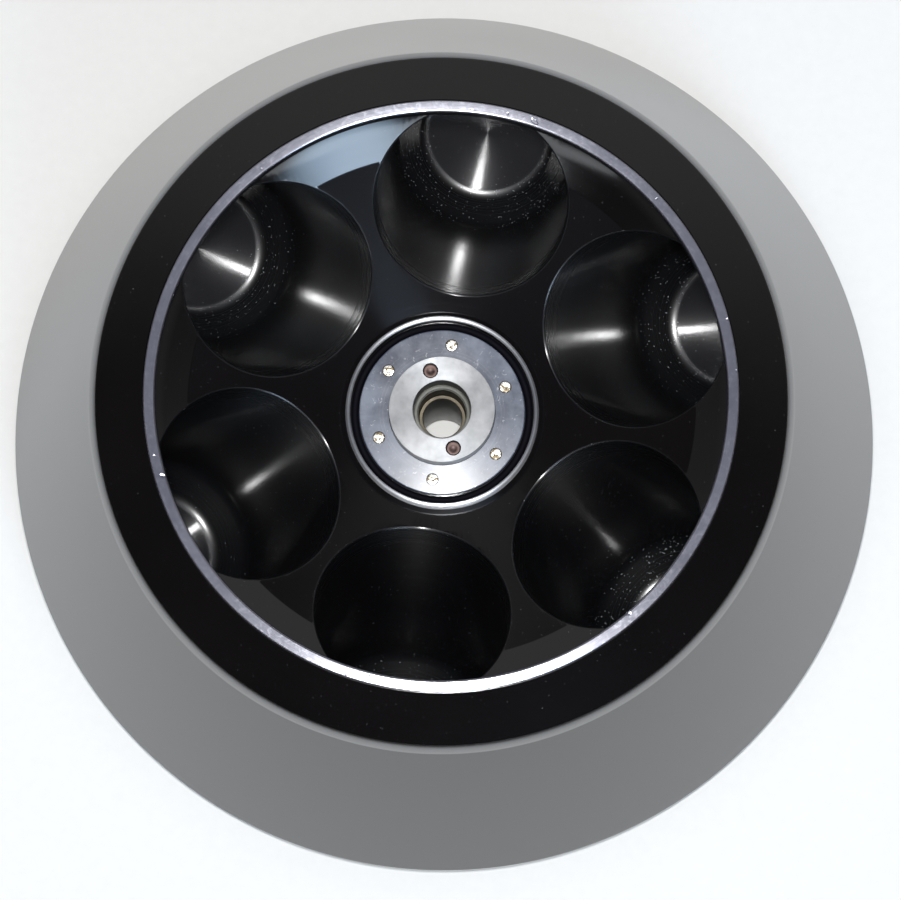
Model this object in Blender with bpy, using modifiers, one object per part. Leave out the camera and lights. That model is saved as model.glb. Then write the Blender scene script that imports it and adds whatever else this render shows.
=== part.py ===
"""Fixed-angle centrifuge rotor with six 250 ml bottle cavities, lid removed.

The rotor stands on its base lip, with its spin axis on Z and the origin on that axis in the
plane of the lip.  Lengths below are in millimetres and angles in degrees.  Anything called a
radius is measured from the spin axis, unless it belongs to a cavity, a pin or a screw.
"""
import math

import bmesh
import bpy
from mathutils import Vector

MM = 0.001
GAP = 0.3                       # clearance between pieces that touch

# Body, outside
BASE_RADIUS = 146.0
LIP_HEIGHT = 20.5
LIP_CHAMFER = 0.8
RIM_OUTER_RADIUS = 108.8        # where the sloping rim face meets the shoulder
RIM_OUTER_HEIGHT = 138.6
SHOULDER_RADIUS = 7.0
SKIRT_THICKNESS = 8.0

# Opening and lid seat
SEAT_INNER_RADIUS = 89.5
SEAT_OUTER_RADIUS = 93.3
SEAT_TOP = 150.0
SEAT_THICKNESS = 4.0
SEAT_CHAMFER = 0.4

# Well
FLOOR_ANGLE = 23.0              # the well floor is square to the cavity axes
CREASE_RADIUS = 81.0            # the floor turns steeper outside this radius
OUTER_FLOOR_ANGLE = 28.0
ANNULUS_RADIUS = 97.0           # undercut below the rim
NECK_RADIUS = 89.9
NECK_HEIGHT = 143.0

# Cavities
CAVITY_COUNT = 6
CAVITY_RADIUS = 31.2
CAVITY_DEPTH = 100.0
CAVITY_FILLET = 9.0
CAVITY_ANGLE = 23.0
MOUTH_CENTRE_RADIUS = 67.3
MOUTH_CENTRE_HEIGHT = 116.0
CUTTER_OVERRUN = 12.0
TUBE_WALL = 6.0                 # wall of the cups that show on the underside
TUBE_FILLET = 14.0

# Underside
BOSS_TOP_RADIUS = 40.0
BOSS_BOTTOM_RADIUS = 48.0
BOSS_BOTTOM = 12.0
WEB_THICKNESS = 15.0

# Hub, from the outside in
RECESS_RADIUS = 31.5
RECESS_FLOOR = 97.2
COLLAR_INNER_RADIUS = 29.7
COLLAR_TOP = 104.0
O_RING_WIRE = 1.15
PLATE_RADIUS = 26.8
PLATE_TOP = 101.8
HUB_RADIUS = 17.1
HUB_TOP = 110.0
HUB_BOTTOM = 60.0
HUB_BORE = 9.35
HUB_STEP = 97.5
LOWER_BORE = 7.75
PIN_RADIUS = 2.4
PIN_CIRCLE = 13.05
PIN_ANGLE = 24.4                # from the nearest cavity
PIN_RECESS = 0.8
PIN_LENGTH = 41.0
BUSH_BORE = 6.4
BUSH_TOP = 85.0
BUSH_BOTTOM = 62.0
SNAP_RING_THICKNESS = 1.2

# Spindle adapter, below the hub
BODY_BORE = 14.0
ADAPTER_TOP = 59.4
ADAPTER_BORE = 7.2
SOCKET_TOP = 45.0
SOCKET_RADIUS = 8.5             # mouth of the tapered spindle socket
FLANGE_RADIUS = 22.0
FLANGE_BOTTOM = 7.0
SPEED_DISC_INNER = 28.0
SPEED_DISC_OUTER = 46.0
SPEED_DISC_THICKNESS = 0.8

# Screws: countersunk, with a hexagon socket
SCREW_HEAD = 1.95
SCREW_SHANK = 1.3
SCREW_HEAD_DEPTH = 0.9
SCREW_LENGTH = 13.0
SCREW_SOCKET = 1.0
SCREW_SOCKET_DEPTH = 0.8
PLATE_SCREW_CIRCLE = 22.0
PLATE_SCREWS = 6
ADAPTER_SCREW_CIRCLE = 17.9
ADAPTER_SCREWS = 4

BODY_STEPS = 60
FACET_TURN = 3.0                # keeps the body's facet edges off the cavities' mid-planes
RING_STEPS = 48
CAVITY_STEPS = 24
SMALL_STEPS = 12
ARC_STEPS = 3


# ---------------------------------------------------------------- scene and materials

def clear_scene():
    for item in list(bpy.data.objects):
        bpy.data.objects.remove(item, do_unlink=True)


def new_collection(name):
    collection = bpy.data.collections.new(name)
    bpy.context.scene.collection.children.link(collection)
    return collection


def make_material(name, colour, roughness, metallic):
    material = bpy.data.materials.new(name)
    material.use_nodes = True
    shader = material.node_tree.nodes["Principled BSDF"]
    shader.inputs["Base Color"].default_value = (*colour, 1.0)
    shader.inputs["Roughness"].default_value = roughness
    shader.inputs["Metallic"].default_value = metallic
    material.diffuse_color = (*colour, 1.0)
    return material


# ---------------------------------------------------------------- geometry helpers

def floor_height(radius):
    """Height of the well floor, which passes through the centres of the cavity mouths."""
    inner = min(radius, CREASE_RADIUS)
    rise = (inner - MOUTH_CENTRE_RADIUS) * math.tan(math.radians(FLOOR_ANGLE))
    outer = max(radius - CREASE_RADIUS, 0.0)
    return MOUTH_CENTRE_HEIGHT + rise + outer * math.tan(math.radians(OUTER_FLOOR_ANGLE))


def fillet(before, corner, after, radius, steps=ARC_STEPS):
    """Points of the arc that rounds a profile's corner."""
    corner = Vector(corner)
    back = (Vector(before) - corner).normalized()
    ahead = (Vector(after) - corner).normalized()
    half = back.angle(ahead) / 2.0
    start = corner + back * (radius / math.tan(half))
    end = corner + ahead * (radius / math.tan(half))
    centre = corner + (back + ahead).normalized() * (radius / math.sin(half))
    arm_a = start - centre
    arm_b = end - centre
    sweep = arm_a.angle(arm_b)
    points = []
    for step in range(steps + 1):
        share = step / steps
        weight_a = math.sin((1.0 - share) * sweep) / math.sin(sweep)
        weight_b = math.sin(share * sweep) / math.sin(sweep)
        points.append(tuple(centre + arm_a * weight_a + arm_b * weight_b))
    return points


def turned(name, profile, collection, material=None, steps=RING_STEPS, closed=True):
    """Turn a profile of (radius, height) points round Z.

    The points run down the outer side.  A closed profile makes a ring; an open one starts
    and ends on the axis.
    """
    mesh = bpy.data.meshes.new(name)
    points = [(radius * MM, 0.0, height * MM) for radius, height in profile]
    edges = [(index, index + 1) for index in range(len(points) - 1)]
    if closed:
        edges.append((len(points) - 1, 0))
    mesh.from_pydata(points, edges, [])
    item = bpy.data.objects.new(name, mesh)
    collection.objects.link(item)
    screw = item.modifiers.new("turn", "SCREW")
    screw.steps = steps
    screw.render_steps = steps
    screw.use_merge_vertices = True
    screw.merge_threshold = 0.00001
    screw.use_smooth_shade = True
    if material:
        mesh.materials.append(material)
    return item


def cylinder(name, radius, bottom, top, collection, steps=SMALL_STEPS, material=None):
    """A plain cylinder on its own axis, its ends at the heights given."""
    mesh = bpy.data.meshes.new(name)
    form = bmesh.new()
    bmesh.ops.create_cone(form, cap_ends=True, segments=steps, radius1=radius * MM,
                          radius2=radius * MM, depth=(top - bottom) * MM)
    bmesh.ops.translate(form, verts=form.verts, vec=(0.0, 0.0, (top + bottom) / 2.0 * MM))
    form.to_mesh(mesh)
    form.free()
    item = bpy.data.objects.new(name, mesh)
    collection.objects.link(item)
    if material:
        mesh.materials.append(material)
        mesh.shade_smooth()
        mesh.set_sharp_from_angle(angle=math.radians(40.0))
    return item


def place(item, radius=0.0, angle=0.0, height=0.0, tilt=0.0):
    """Put an object at a radius, angle and height, tilted outwards at its foot."""
    turn = math.radians(angle)
    item.location = (radius * math.cos(turn) * MM, radius * math.sin(turn) * MM, height * MM)
    item.rotation_euler = (0.0, -math.radians(tilt), turn)
    return item


def cut(item, cutter):
    boolean = item.modifiers.new("cut " + cutter.name, "BOOLEAN")
    boolean.operation = "DIFFERENCE"
    boolean.solver = "EXACT"
    boolean.object = cutter


def weld(item):
    """Join the near-duplicate points that a run of cuts leaves behind."""
    joined = item.modifiers.new("weld", "WELD")
    joined.merge_threshold = 0.00002


def as_cutter(item):
    item.hide_render = True
    item.display_type = "WIRE"
    return item


# ---------------------------------------------------------------- body

def blank_profile():
    """Section of the body before the cavities and the underside are machined."""
    rim_inner = (SEAT_OUTER_RADIUS + GAP, SEAT_TOP - GAP)
    shoulder = (RIM_OUTER_RADIUS + 2.2, RIM_OUTER_HEIGHT - 1.6)
    lip_top = (BASE_RADIUS, LIP_HEIGHT)
    profile = [rim_inner]
    profile += fillet(rim_inner, shoulder, lip_top, SHOULDER_RADIUS)
    profile += [lip_top, (BASE_RADIUS, LIP_CHAMFER), (BASE_RADIUS - LIP_CHAMFER, 0.0)]
    profile += [(BODY_BORE, 0.0), (BODY_BORE, HUB_BOTTOM - GAP)]
    profile += [(HUB_RADIUS + GAP, HUB_BOTTOM - GAP), (HUB_RADIUS + GAP, RECESS_FLOOR)]
    profile += [(RECESS_RADIUS, RECESS_FLOOR), (RECESS_RADIUS, floor_height(RECESS_RADIUS))]
    profile += [(CREASE_RADIUS, floor_height(CREASE_RADIUS))]
    floor_edge = ANNULUS_RADIUS - 2.0
    profile += [(floor_edge, floor_height(floor_edge))]
    profile += [(ANNULUS_RADIUS, floor_height(floor_edge) + 2.4)]
    profile += [(ANNULUS_RADIUS, floor_height(floor_edge) + 5.4)]
    seat_floor = SEAT_TOP - SEAT_THICKNESS - GAP
    profile += [(NECK_RADIUS, NECK_HEIGHT), (NECK_RADIUS, seat_floor)]
    profile += [(SEAT_OUTER_RADIUS + GAP, seat_floor)]
    return profile


def underside_profile():
    """Section of the hollow below the web, between the skirt and the centre boss."""
    slope = (BASE_RADIUS - RIM_OUTER_RADIUS) / (RIM_OUTER_HEIGHT - LIP_HEIGHT)
    wall_foot = (BASE_RADIUS - SKIRT_THICKNESS, LIP_HEIGHT - 4.0)
    ceiling_rim = 100.0
    ceiling = floor_height(ceiling_rim) - WEB_THICKNESS - 3.0
    wall_top_height = ceiling - 2.0
    wall_top = (wall_foot[0] - (wall_top_height - wall_foot[1]) * slope, wall_top_height)
    boss_top = floor_height(BOSS_TOP_RADIUS) - WEB_THICKNESS - 4.0
    below = -5.0
    return [(0.0, BOSS_BOTTOM), (BOSS_BOTTOM_RADIUS, BOSS_BOTTOM),
            (BOSS_TOP_RADIUS, boss_top), (BOSS_TOP_RADIUS + 5.0, boss_top + 5.0),
            (ceiling_rim, ceiling), wall_top, wall_foot,
            (BASE_RADIUS - SKIRT_THICKNESS, below), (0.0, below)]


def cup_profile(radius, top, depth, rounding):
    """Section of a round-cornered plug that hangs down from the origin."""
    foot = (radius, -depth)
    corner = fillet((radius, top), foot, (0.0, -depth), rounding)
    return [(0.0, top), (radius, top)] + corner + [(0.0, -depth)]


def cavity_angles():
    return [90.0 + 360.0 * index / CAVITY_COUNT for index in range(CAVITY_COUNT)]


def place_on_cavity(item, angle):
    return place(item, MOUTH_CENTRE_RADIUS, angle, MOUTH_CENTRE_HEIGHT, CAVITY_ANGLE)


def make_body(parts, cutters):
    black = make_material("black anodised aluminium", (0.020, 0.018, 0.019), 0.35, 0.0)
    body = turned("rotor_body", blank_profile(), parts, black, BODY_STEPS)

    hollow = as_cutter(turned("underside_cutter", underside_profile(), cutters,
                              steps=BODY_STEPS, closed=False))
    cup = cup_profile(CAVITY_RADIUS + TUBE_WALL, 30.0, CAVITY_DEPTH + TUBE_WALL + 1.0,
                      TUBE_FILLET)
    for index, angle in enumerate(cavity_angles()):
        keep = turned(f"cup_form_{index + 1}", cup, cutters, steps=CAVITY_STEPS, closed=False)
        cut(hollow, place_on_cavity(as_cutter(keep), angle))
    weld(hollow)
    place(hollow, angle=FACET_TURN)
    place(body, angle=FACET_TURN)
    cut(body, hollow)

    bottle = cup_profile(CAVITY_RADIUS, CUTTER_OVERRUN, CAVITY_DEPTH, CAVITY_FILLET)
    for index, angle in enumerate(cavity_angles()):
        cavity = turned(f"cavity_cutter_{index + 1}", bottle, cutters, steps=CAVITY_STEPS,
                        closed=False)
        cut(body, place_on_cavity(as_cutter(cavity), angle))
    return body


def make_seat_ring(parts):
    bare = make_material("bare aluminium seat", (0.62, 0.62, 0.66), 0.28, 1.0)
    top = SEAT_TOP
    bottom = SEAT_TOP - SEAT_THICKNESS
    profile = [(SEAT_INNER_RADIUS + SEAT_CHAMFER, top), (SEAT_OUTER_RADIUS - SEAT_CHAMFER, top),
               (SEAT_OUTER_RADIUS, top - SEAT_CHAMFER), (SEAT_OUTER_RADIUS, bottom),
               (SEAT_INNER_RADIUS, bottom), (SEAT_INNER_RADIUS, top - SEAT_CHAMFER)]
    return turned("lid_seat_ring", profile, parts, bare, BODY_STEPS)


# ---------------------------------------------------------------- hub

def make_collar(parts):
    bright = make_material("bright collar", (0.70, 0.70, 0.72), 0.2, 1.0)
    outer = RECESS_RADIUS - GAP
    bottom = RECESS_FLOOR + GAP
    profile = [(COLLAR_INNER_RADIUS + 0.3, COLLAR_TOP), (outer - 0.5, COLLAR_TOP),
               (outer, COLLAR_TOP - 0.5), (outer, bottom),
               (COLLAR_INNER_RADIUS, bottom), (COLLAR_INNER_RADIUS, COLLAR_TOP - 0.3)]
    return turned("hub_collar", profile, parts, bright)


def make_o_ring(parts):
    rubber = make_material("black rubber", (0.015, 0.015, 0.016), 0.6, 0.0)
    centre = (PLATE_RADIUS + COLLAR_INNER_RADIUS) / 2.0
    height = RECESS_FLOOR + GAP + O_RING_WIRE
    sides = 8
    profile = []
    for side in range(sides):
        turn = math.pi / 2.0 - 2.0 * math.pi * side / sides
        profile.append((centre + O_RING_WIRE * math.cos(turn),
                        height + O_RING_WIRE * math.sin(turn)))
    return turned("hub_o_ring", profile, parts, rubber, 36)


def make_plate(parts):
    satin = make_material("satin aluminium plate", (0.42, 0.44, 0.50), 0.3, 1.0)
    inner = HUB_RADIUS + GAP
    bottom = RECESS_FLOOR + GAP
    profile = [(inner, PLATE_TOP), (PLATE_RADIUS - 0.4, PLATE_TOP),
               (PLATE_RADIUS, PLATE_TOP - 0.4), (PLATE_RADIUS, bottom), (inner, bottom)]
    return turned("hub_plate", profile, parts, satin)


def make_drive_hub(parts):
    steel = make_material("turned steel hub", (0.56, 0.56, 0.55), 0.25, 1.0)
    profile = [(HUB_BORE + 0.4, HUB_TOP), (HUB_RADIUS - 0.5, HUB_TOP),
               (HUB_RADIUS, HUB_TOP - 0.5), (HUB_RADIUS, HUB_BOTTOM),
               (LOWER_BORE, HUB_BOTTOM), (LOWER_BORE, HUB_STEP),
               (HUB_BORE, HUB_STEP), (HUB_BORE, HUB_TOP - 0.4)]
    return turned("drive_hub", profile, parts, steel)


def make_bore_pieces(parts):
    bronze = make_material("bronze bush", (0.55, 0.40, 0.22), 0.35, 1.0)
    spring = make_material("spring steel ring", (0.40, 0.40, 0.38), 0.35, 1.0)
    outer = LOWER_BORE - GAP
    bush = turned("bore_bush", [(BUSH_BORE, BUSH_TOP), (outer, BUSH_TOP), (outer, BUSH_BOTTOM),
                                (BUSH_BORE, BUSH_BOTTOM)], parts, bronze, 32)
    ring_outer = HUB_BORE - GAP
    ring_inner = LOWER_BORE + 0.2
    ring_bottom = HUB_STEP + GAP
    ring_top = ring_bottom + SNAP_RING_THICKNESS
    ring = turned("snap_ring", [(ring_inner, ring_top), (ring_outer, ring_top),
                                (ring_outer, ring_bottom), (ring_inner, ring_bottom)],
                  parts, spring, 32)
    return [bush, ring]


def make_pins(parts, cutters, hub):
    brown = make_material("oxidised pin ends", (0.16, 0.10, 0.07), 0.5, 0.8)
    top = HUB_TOP - PIN_RECESS
    pins = []
    for index, side in enumerate((0.0, 180.0)):
        angle = 90.0 + PIN_ANGLE + side
        pin = cylinder(f"drive_pin_{index + 1}", PIN_RADIUS, top - PIN_LENGTH, top, parts,
                       material=brown)
        pins.append(place(pin, PIN_CIRCLE, angle))
        hole = cylinder(f"pin_hole_{index + 1}", PIN_RADIUS + GAP, top - PIN_LENGTH - GAP,
                        HUB_TOP + 2.0, cutters)
        cut(hub, place(as_cutter(hole), PIN_CIRCLE, angle))
    return pins


def screw_profile(grow=0.0, headroom=0.0):
    """Section of a countersunk screw with its head face at height zero."""
    head = SCREW_HEAD + grow
    shank = SCREW_SHANK + grow
    foot = -SCREW_LENGTH - grow
    return [(0.0, headroom), (head, headroom), (head, -0.25 - grow),
            (shank, -SCREW_HEAD_DEPTH - grow), (shank, foot), (0.0, foot)]


def make_screws(name, count, first_angle, circle, height, flip, drilled, material, parts,
                cutters):
    """A ring of equal screws, with clearance holes in the pieces that they hold."""
    screws = []
    socket_top = 1.0
    for index in range(count):
        angle = first_angle + 360.0 * index / count
        screw = turned(f"{name}_{index + 1}", screw_profile(), parts, material, SMALL_STEPS,
                       closed=False)
        socket = cylinder(f"{name}_socket_{index + 1}", SCREW_SOCKET, -SCREW_SOCKET_DEPTH,
                          socket_top, cutters, steps=6)
        hole = turned(f"{name}_hole_{index + 1}", screw_profile(GAP, socket_top), cutters,
                      steps=SMALL_STEPS, closed=False)
        for item in (screw, socket, hole):
            place(item, circle, angle, height, 180.0 if flip else 0.0)
        cut(screw, as_cutter(socket))
        weld(screw)
        as_cutter(hole)
        for piece in drilled:
            cut(piece, hole)
        screws.append(screw)
    return screws


# ---------------------------------------------------------------- underside

def make_adapter(parts):
    steel = make_material("spindle adapter steel", (0.50, 0.50, 0.50), 0.3, 1.0)
    outer = BODY_BORE - GAP
    flange_top = BOSS_BOTTOM - GAP
    profile = [(ADAPTER_BORE, ADAPTER_TOP), (outer - 0.6, ADAPTER_TOP),
               (outer, ADAPTER_TOP - 0.6), (outer, flange_top), (FLANGE_RADIUS, flange_top),
               (FLANGE_RADIUS, FLANGE_BOTTOM + 0.6), (FLANGE_RADIUS - 0.6, FLANGE_BOTTOM),
               (SOCKET_RADIUS, FLANGE_BOTTOM), (ADAPTER_BORE, SOCKET_TOP)]
    return turned("drive_adapter", profile, parts, steel)


def make_speed_disc(parts):
    film = make_material("speed sensing disc", (0.03, 0.03, 0.03), 0.4, 0.0)
    top = BOSS_BOTTOM - GAP
    bottom = top - SPEED_DISC_THICKNESS
    profile = [(SPEED_DISC_INNER, top), (SPEED_DISC_OUTER, top), (SPEED_DISC_OUTER, bottom),
               (SPEED_DISC_INNER, bottom)]
    return turned("speed_disc", profile, parts, film)


def main():
    clear_scene()
    parts = new_collection("centrifuge_rotor")
    cutters = new_collection("cutters")

    body = make_body(parts, cutters)
    plate = make_plate(parts)
    hub = make_drive_hub(parts)
    adapter = make_adapter(parts)
    pieces = [body, plate, hub, adapter]
    pieces += [make_seat_ring(parts), make_collar(parts), make_o_ring(parts)]
    pieces += make_bore_pieces(parts) + make_pins(parts, cutters, hub)
    pieces.append(make_speed_disc(parts))

    zinc = make_material("plated screws", (0.66, 0.62, 0.54), 0.3, 1.0)
    pieces += make_screws("hub_screw", PLATE_SCREWS, 90.0, PLATE_SCREW_CIRCLE, PLATE_TOP,
                          False, (plate, body), zinc, parts, cutters)
    pieces += make_screws("adapter_screw", ADAPTER_SCREWS, 45.0, ADAPTER_SCREW_CIRCLE,
                          FLANGE_BOTTOM, True, (adapter, body), zinc, parts, cutters)

    for piece in (body, plate, hub, adapter):
        weld(piece)

    axis = bpy.data.objects.new("spin_axis", None)
    parts.objects.link(axis)
    for piece in pieces:
        piece.parent = axis


main()
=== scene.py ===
"""Looks of a fixed-angle centrifuge rotor with its lid off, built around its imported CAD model.

Lengths are in millimetres unless a name says otherwise, and angles in degrees.  Section
outlines are (radius, height) points that run down the outer side of what they bound.
"""

import math

import bmesh
import bpy
from mathutils import Matrix, Vector


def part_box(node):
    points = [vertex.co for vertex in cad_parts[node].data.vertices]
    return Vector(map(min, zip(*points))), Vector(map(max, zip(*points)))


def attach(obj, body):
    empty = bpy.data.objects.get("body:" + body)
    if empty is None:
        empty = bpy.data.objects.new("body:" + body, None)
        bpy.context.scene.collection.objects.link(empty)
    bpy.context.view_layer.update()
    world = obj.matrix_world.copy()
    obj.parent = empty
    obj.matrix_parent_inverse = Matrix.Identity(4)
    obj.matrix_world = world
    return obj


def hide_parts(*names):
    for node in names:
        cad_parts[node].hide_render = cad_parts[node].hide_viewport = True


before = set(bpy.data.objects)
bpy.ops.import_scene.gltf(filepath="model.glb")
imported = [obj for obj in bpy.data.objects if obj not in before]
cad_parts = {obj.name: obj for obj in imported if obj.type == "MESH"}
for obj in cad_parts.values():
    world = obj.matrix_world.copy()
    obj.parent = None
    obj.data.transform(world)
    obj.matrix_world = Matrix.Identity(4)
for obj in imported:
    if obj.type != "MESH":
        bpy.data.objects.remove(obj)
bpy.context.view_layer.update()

MM = 0.001
GAP = 0.3
HAIRLINE = 0.05

# Sizes that the frame gives
CAD_BODY_FACETS = 60


def node_size(node):
    """Outer radius, lowest and highest point of a turned CAD node, in millimetres."""
    low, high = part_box(node)
    return high.x / MM, low.z / MM, high.z / MM


def node_radius(node):
    """Radius of an upright round CAD node that stands off the axis, in millimetres."""
    low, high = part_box(node)
    return (high.x - low.x) / MM / 2.0


def node_centre(node):
    """Centre of a CAD node, in metres."""
    low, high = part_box(node)
    return (low + high) / 2.0


BASE_RADIUS = node_size("rotor_body")[0] / math.cos(math.pi / CAD_BODY_FACETS)
SEAT_OUTER, SEAT_BOTTOM, SEAT_TOP = node_size("lid_seat_ring")
COLLAR_OUTER, COLLAR_BOTTOM, COLLAR_TOP = node_size("hub_collar")
PLATE_OUTER, PLATE_BOTTOM, PLATE_TOP = node_size("hub_plate")
HUB_OUTER, HUB_BOTTOM, HUB_TOP = node_size("drive_hub")
BUSH_OUTER, BUSH_BOTTOM, BUSH_TOP = node_size("bore_bush")
SNAP_OUTER, SNAP_BOTTOM, SNAP_TOP = node_size("snap_ring")
O_RING_OUTER, O_RING_BOTTOM, O_RING_TOP = node_size("hub_o_ring")
FLANGE_OUTER, FLANGE_BOTTOM, ADAPTER_TOP = node_size("drive_adapter")
DISC_OUTER, DISC_BOTTOM, DISC_TOP = node_size("speed_disc")

# Body, outside
LIP_HEIGHT = 20.5
RIM_OUTER_RADIUS = 108.8
RIM_OUTER_HEIGHT = 138.6
SHOULDER_OUT = 2.2              # the shoulder's corner, before it is rounded, from the rim's
SHOULDER_DROP = 1.6
SHOULDER_RADIUS = 8.5
RIM_FACE_RISE = math.radians(50.0)  # normals of the rim's face rise more, the shoulder's less
SKIRT_THICKNESS = 8.0
EDGE_ROUNDING = 0.8

# Well
SEAT_INNER = 89.5
FLOOR_ANGLE = 23.0
CREASE_RADIUS = 81.0
OUTER_FLOOR_ANGLE = 28.0
CREASE_ROUNDING = 6.0
FLOOR_EDGE_RADIUS = 95.0
FLOOR_EDGE_SLOPE = 1.2
UNDERCUT_RADIUS = 97.0
UNDERCUT_HEIGHT = 3.0
NECK_RADIUS = 89.9
NECK_HEIGHT = 143.0

# Cavities
CAVITY_COUNT = 6
CAVITY_RADIUS = 31.2
CAVITY_DEPTH = 100.0
CAVITY_CHAMFER = 9.2
CAVITY_CHAMFER_ANGLE = 48.0
CAVITY_WALL_ROUNDING = 9.0      # where the chamfer meets the wall
CAVITY_FLOOR_ROUNDING = 5.5     # where it meets the flat bottom
CAVITY_ANGLE = 23.0
MOUTH_CENTRE_RADIUS = 67.3
MOUTH_CENTRE_HEIGHT = 116.0
MOUTH_ROUNDING = 0.8
MOUTH_REACH = 1.5 * MOUTH_ROUNDING  # how far out the floor beside the mouth is measured
BAND_MARGIN = 1.0
DISC_MARGIN = 0.01
MOUTH_OVERRUN = 0.5             # the mouth's cutter goes on this far above the floor
CUTTER_OVERRUN = 12.0
CAVITY_FLOOR_START = CAVITY_CHAMFER * math.tan(math.radians(CAVITY_CHAMFER_ANGLE)) - CAVITY_DEPTH
CUP_WALL = 6.0
CUP_FLOOR = 7.0
CUP_TOP = 30.0
CUP_FILLET = 14.0

# Underside
BOSS_TOP_RADIUS = 40.0
BOSS_BOTTOM_RADIUS = 48.0
BOSS_BOTTOM = 12.0
WEB_THICKNESS = 15.0
CEILING_RADIUS = 100.0
SKIRT_FOOT_DROP = 4.0           # the inner wall turns upright this far below the lip's top
CEILING_DROP = 3.0              # thicker webs over the hollow and over the boss
BOSS_DROP = 4.0
BOSS_BEVEL = 5.0
WALL_TOP_DROP = 2.0
CUT_BELOW = -5.0

# Hub
RECESS_RADIUS = COLLAR_OUTER + GAP
RECESS_FLOOR = COLLAR_BOTTOM - GAP
RECESS_ROUNDING = 0.15
COLLAR_INNER = 29.7
PLATE_CROWN = 0.3
HUB_BORE = 9.35
HUB_STEP = SNAP_BOTTOM - GAP
LOWER_BORE = BUSH_OUTER + GAP
BUSH_BORE = 6.4
SNAP_INNER = LOWER_BORE + 0.2
BODY_BORE = 14.0
ADAPTER_BORE = 7.2
SOCKET_TOP = 45.0
SOCKET_RADIUS = 8.5
ADAPTER_SCREWS = 4
SPEED_DISC_INNER = 28.0
SPEED_DISC_SEGMENTS = 22.0

# Screws and pins
SCREW_HEAD_DEPTH = 0.9
SCREW_SHANK_SHARE = 0.667       # of the head's radius
SCREW_ROUNDING = 0.12
KEY_SIDES = 6
KEY_TOP = 1.0                   # the key socket is cut from this far above the head
KEY_MOUTH_RADIUS = 1.45
KEY_RADIUS = 0.95
KEY_DEPTH = 0.8
KEY_POINT = 1.0
KEY_LEAD_IN = 0.12
PIN_CLEARANCE = 0.1
PIN_DIMPLE = 0.15
PIN_DIMPLE_FLOOR = 0.35         # shares of the pin's radius
PIN_DIMPLE_RIM = 0.5
PIN_ROUNDING = 0.4

# Rounded edges of the rings: the number of a corner in the section, and its radius
SEAT_EDGES = {0: 0.4, 3: 0.8}
COLLAR_EDGES = {0: 1.1, 3: 0.9}
PLATE_EDGES = {0: 0.4, 3: 0.15}
HUB_EDGES = {0: 0.2, 5: 0.3}
BUSH_EDGES = {3: 0.18}
SNAP_EDGES = {0: 0.2, 3: 0.2}
ADAPTER_EDGES = {0: 0.6, 3: 0.6, 4: 0.5}
DISC_EDGES = {1: 0.15, 2: 0.15}

# Mesh
TURNED_STEPS = 288
CAVITY_STEPS = 112
RING_STEPS = 192
SMALL_STEPS = 40
WIRE_STEPS = 20
ARC_STEPS = 8
MOUTH_STEPS = 6
EDGE_STEPS = 4
SMALL_ARC_STEPS = 3
BEND_STEPS = 2
FLOOR_STRETCH = 8.0             # longest stretches without a ring of vertices
WALL_STRETCH = 12.0
DISC_STRETCH = 4.0
CUT_PAST = 2.0                  # cutters reach this far out of what they cut
CUT_UNDER_PLATE = 5.0
BORE_MARGIN = 0.01
SOCKET_MARGIN = 0.2
SHARP_ANGLE = 32.0
RING_SHARP_ANGLE = 50.0
WELD_DISTANCE = 0.000002        # metres

# Camera: seen from the rotor's centre
CAMERA_DISTANCE = 1.6           # metres
CAMERA_AZIMUTH = 11.1
CAMERA_ELEVATION = 83.75
CAMERA_ROLL = -3.03
CAMERA_LENS = 185.3
CAMERA_CLIP_END = 20.0          # metres
CENTRE_IN_FRAME = (-2.14, 1.16)  # how far right and up of the frame's middle the centre sits

# Studio, in metres and degrees
FLOOR_REACH = 2.5
FLOOR_CLEARANCE = 0.0002
WINDOW_AZIMUTH = 31.0
WINDOW_ELEVATION = 43.0
WALL_AZIMUTH = 8.0
WALL_ELEVATION = 47.0
WALL_DISTANCE = 2.5


# ---------------------------------------------------------------- outlines

def floor_height(radius):
    """Height of the well floor at a radius."""
    inner = min(radius, CREASE_RADIUS)
    rise = (inner - MOUTH_CENTRE_RADIUS) * math.tan(math.radians(FLOOR_ANGLE))
    outer = min(max(radius - CREASE_RADIUS, 0.0), FLOOR_EDGE_RADIUS - CREASE_RADIUS)
    outer_rise = outer * math.tan(math.radians(OUTER_FLOOR_ANGLE))
    edge_rise = max(radius - FLOOR_EDGE_RADIUS, 0.0) * FLOOR_EDGE_SLOPE
    return MOUTH_CENTRE_HEIGHT + rise + outer_rise + edge_rise


def fillet(before, corner, after, radius, steps=ARC_STEPS):
    """Points of the arc that rounds an outline's corner."""
    corner = Vector(corner)
    back = (Vector(before) - corner).normalized()
    ahead = (Vector(after) - corner).normalized()
    half = back.angle(ahead) / 2.0
    start = corner + back * (radius / math.tan(half))
    end = corner + ahead * (radius / math.tan(half))
    centre = corner + (back + ahead).normalized() * (radius / math.sin(half))
    arm_a = start - centre
    arm_b = end - centre
    sweep = arm_a.angle(arm_b)
    points = []
    for step in range(steps + 1):
        share = step / steps
        weight_a = math.sin((1.0 - share) * sweep) / math.sin(sweep)
        weight_b = math.sin(share * sweep) / math.sin(sweep)
        points.append(tuple(centre + arm_a * weight_a + arm_b * weight_b))
    return points


def rounded(outline, roundings):
    """The outline with some corners rounded: roundings maps a corner's number to a radius."""
    points = []
    count = len(outline)
    for index, corner in enumerate(outline):
        radius = roundings.get(index)
        if radius is None:
            points.append(corner)
            continue
        before = outline[(index - 1) % count]
        after = outline[(index + 1) % count]
        points += fillet(before, corner, after, radius, EDGE_STEPS)
    return points


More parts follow.
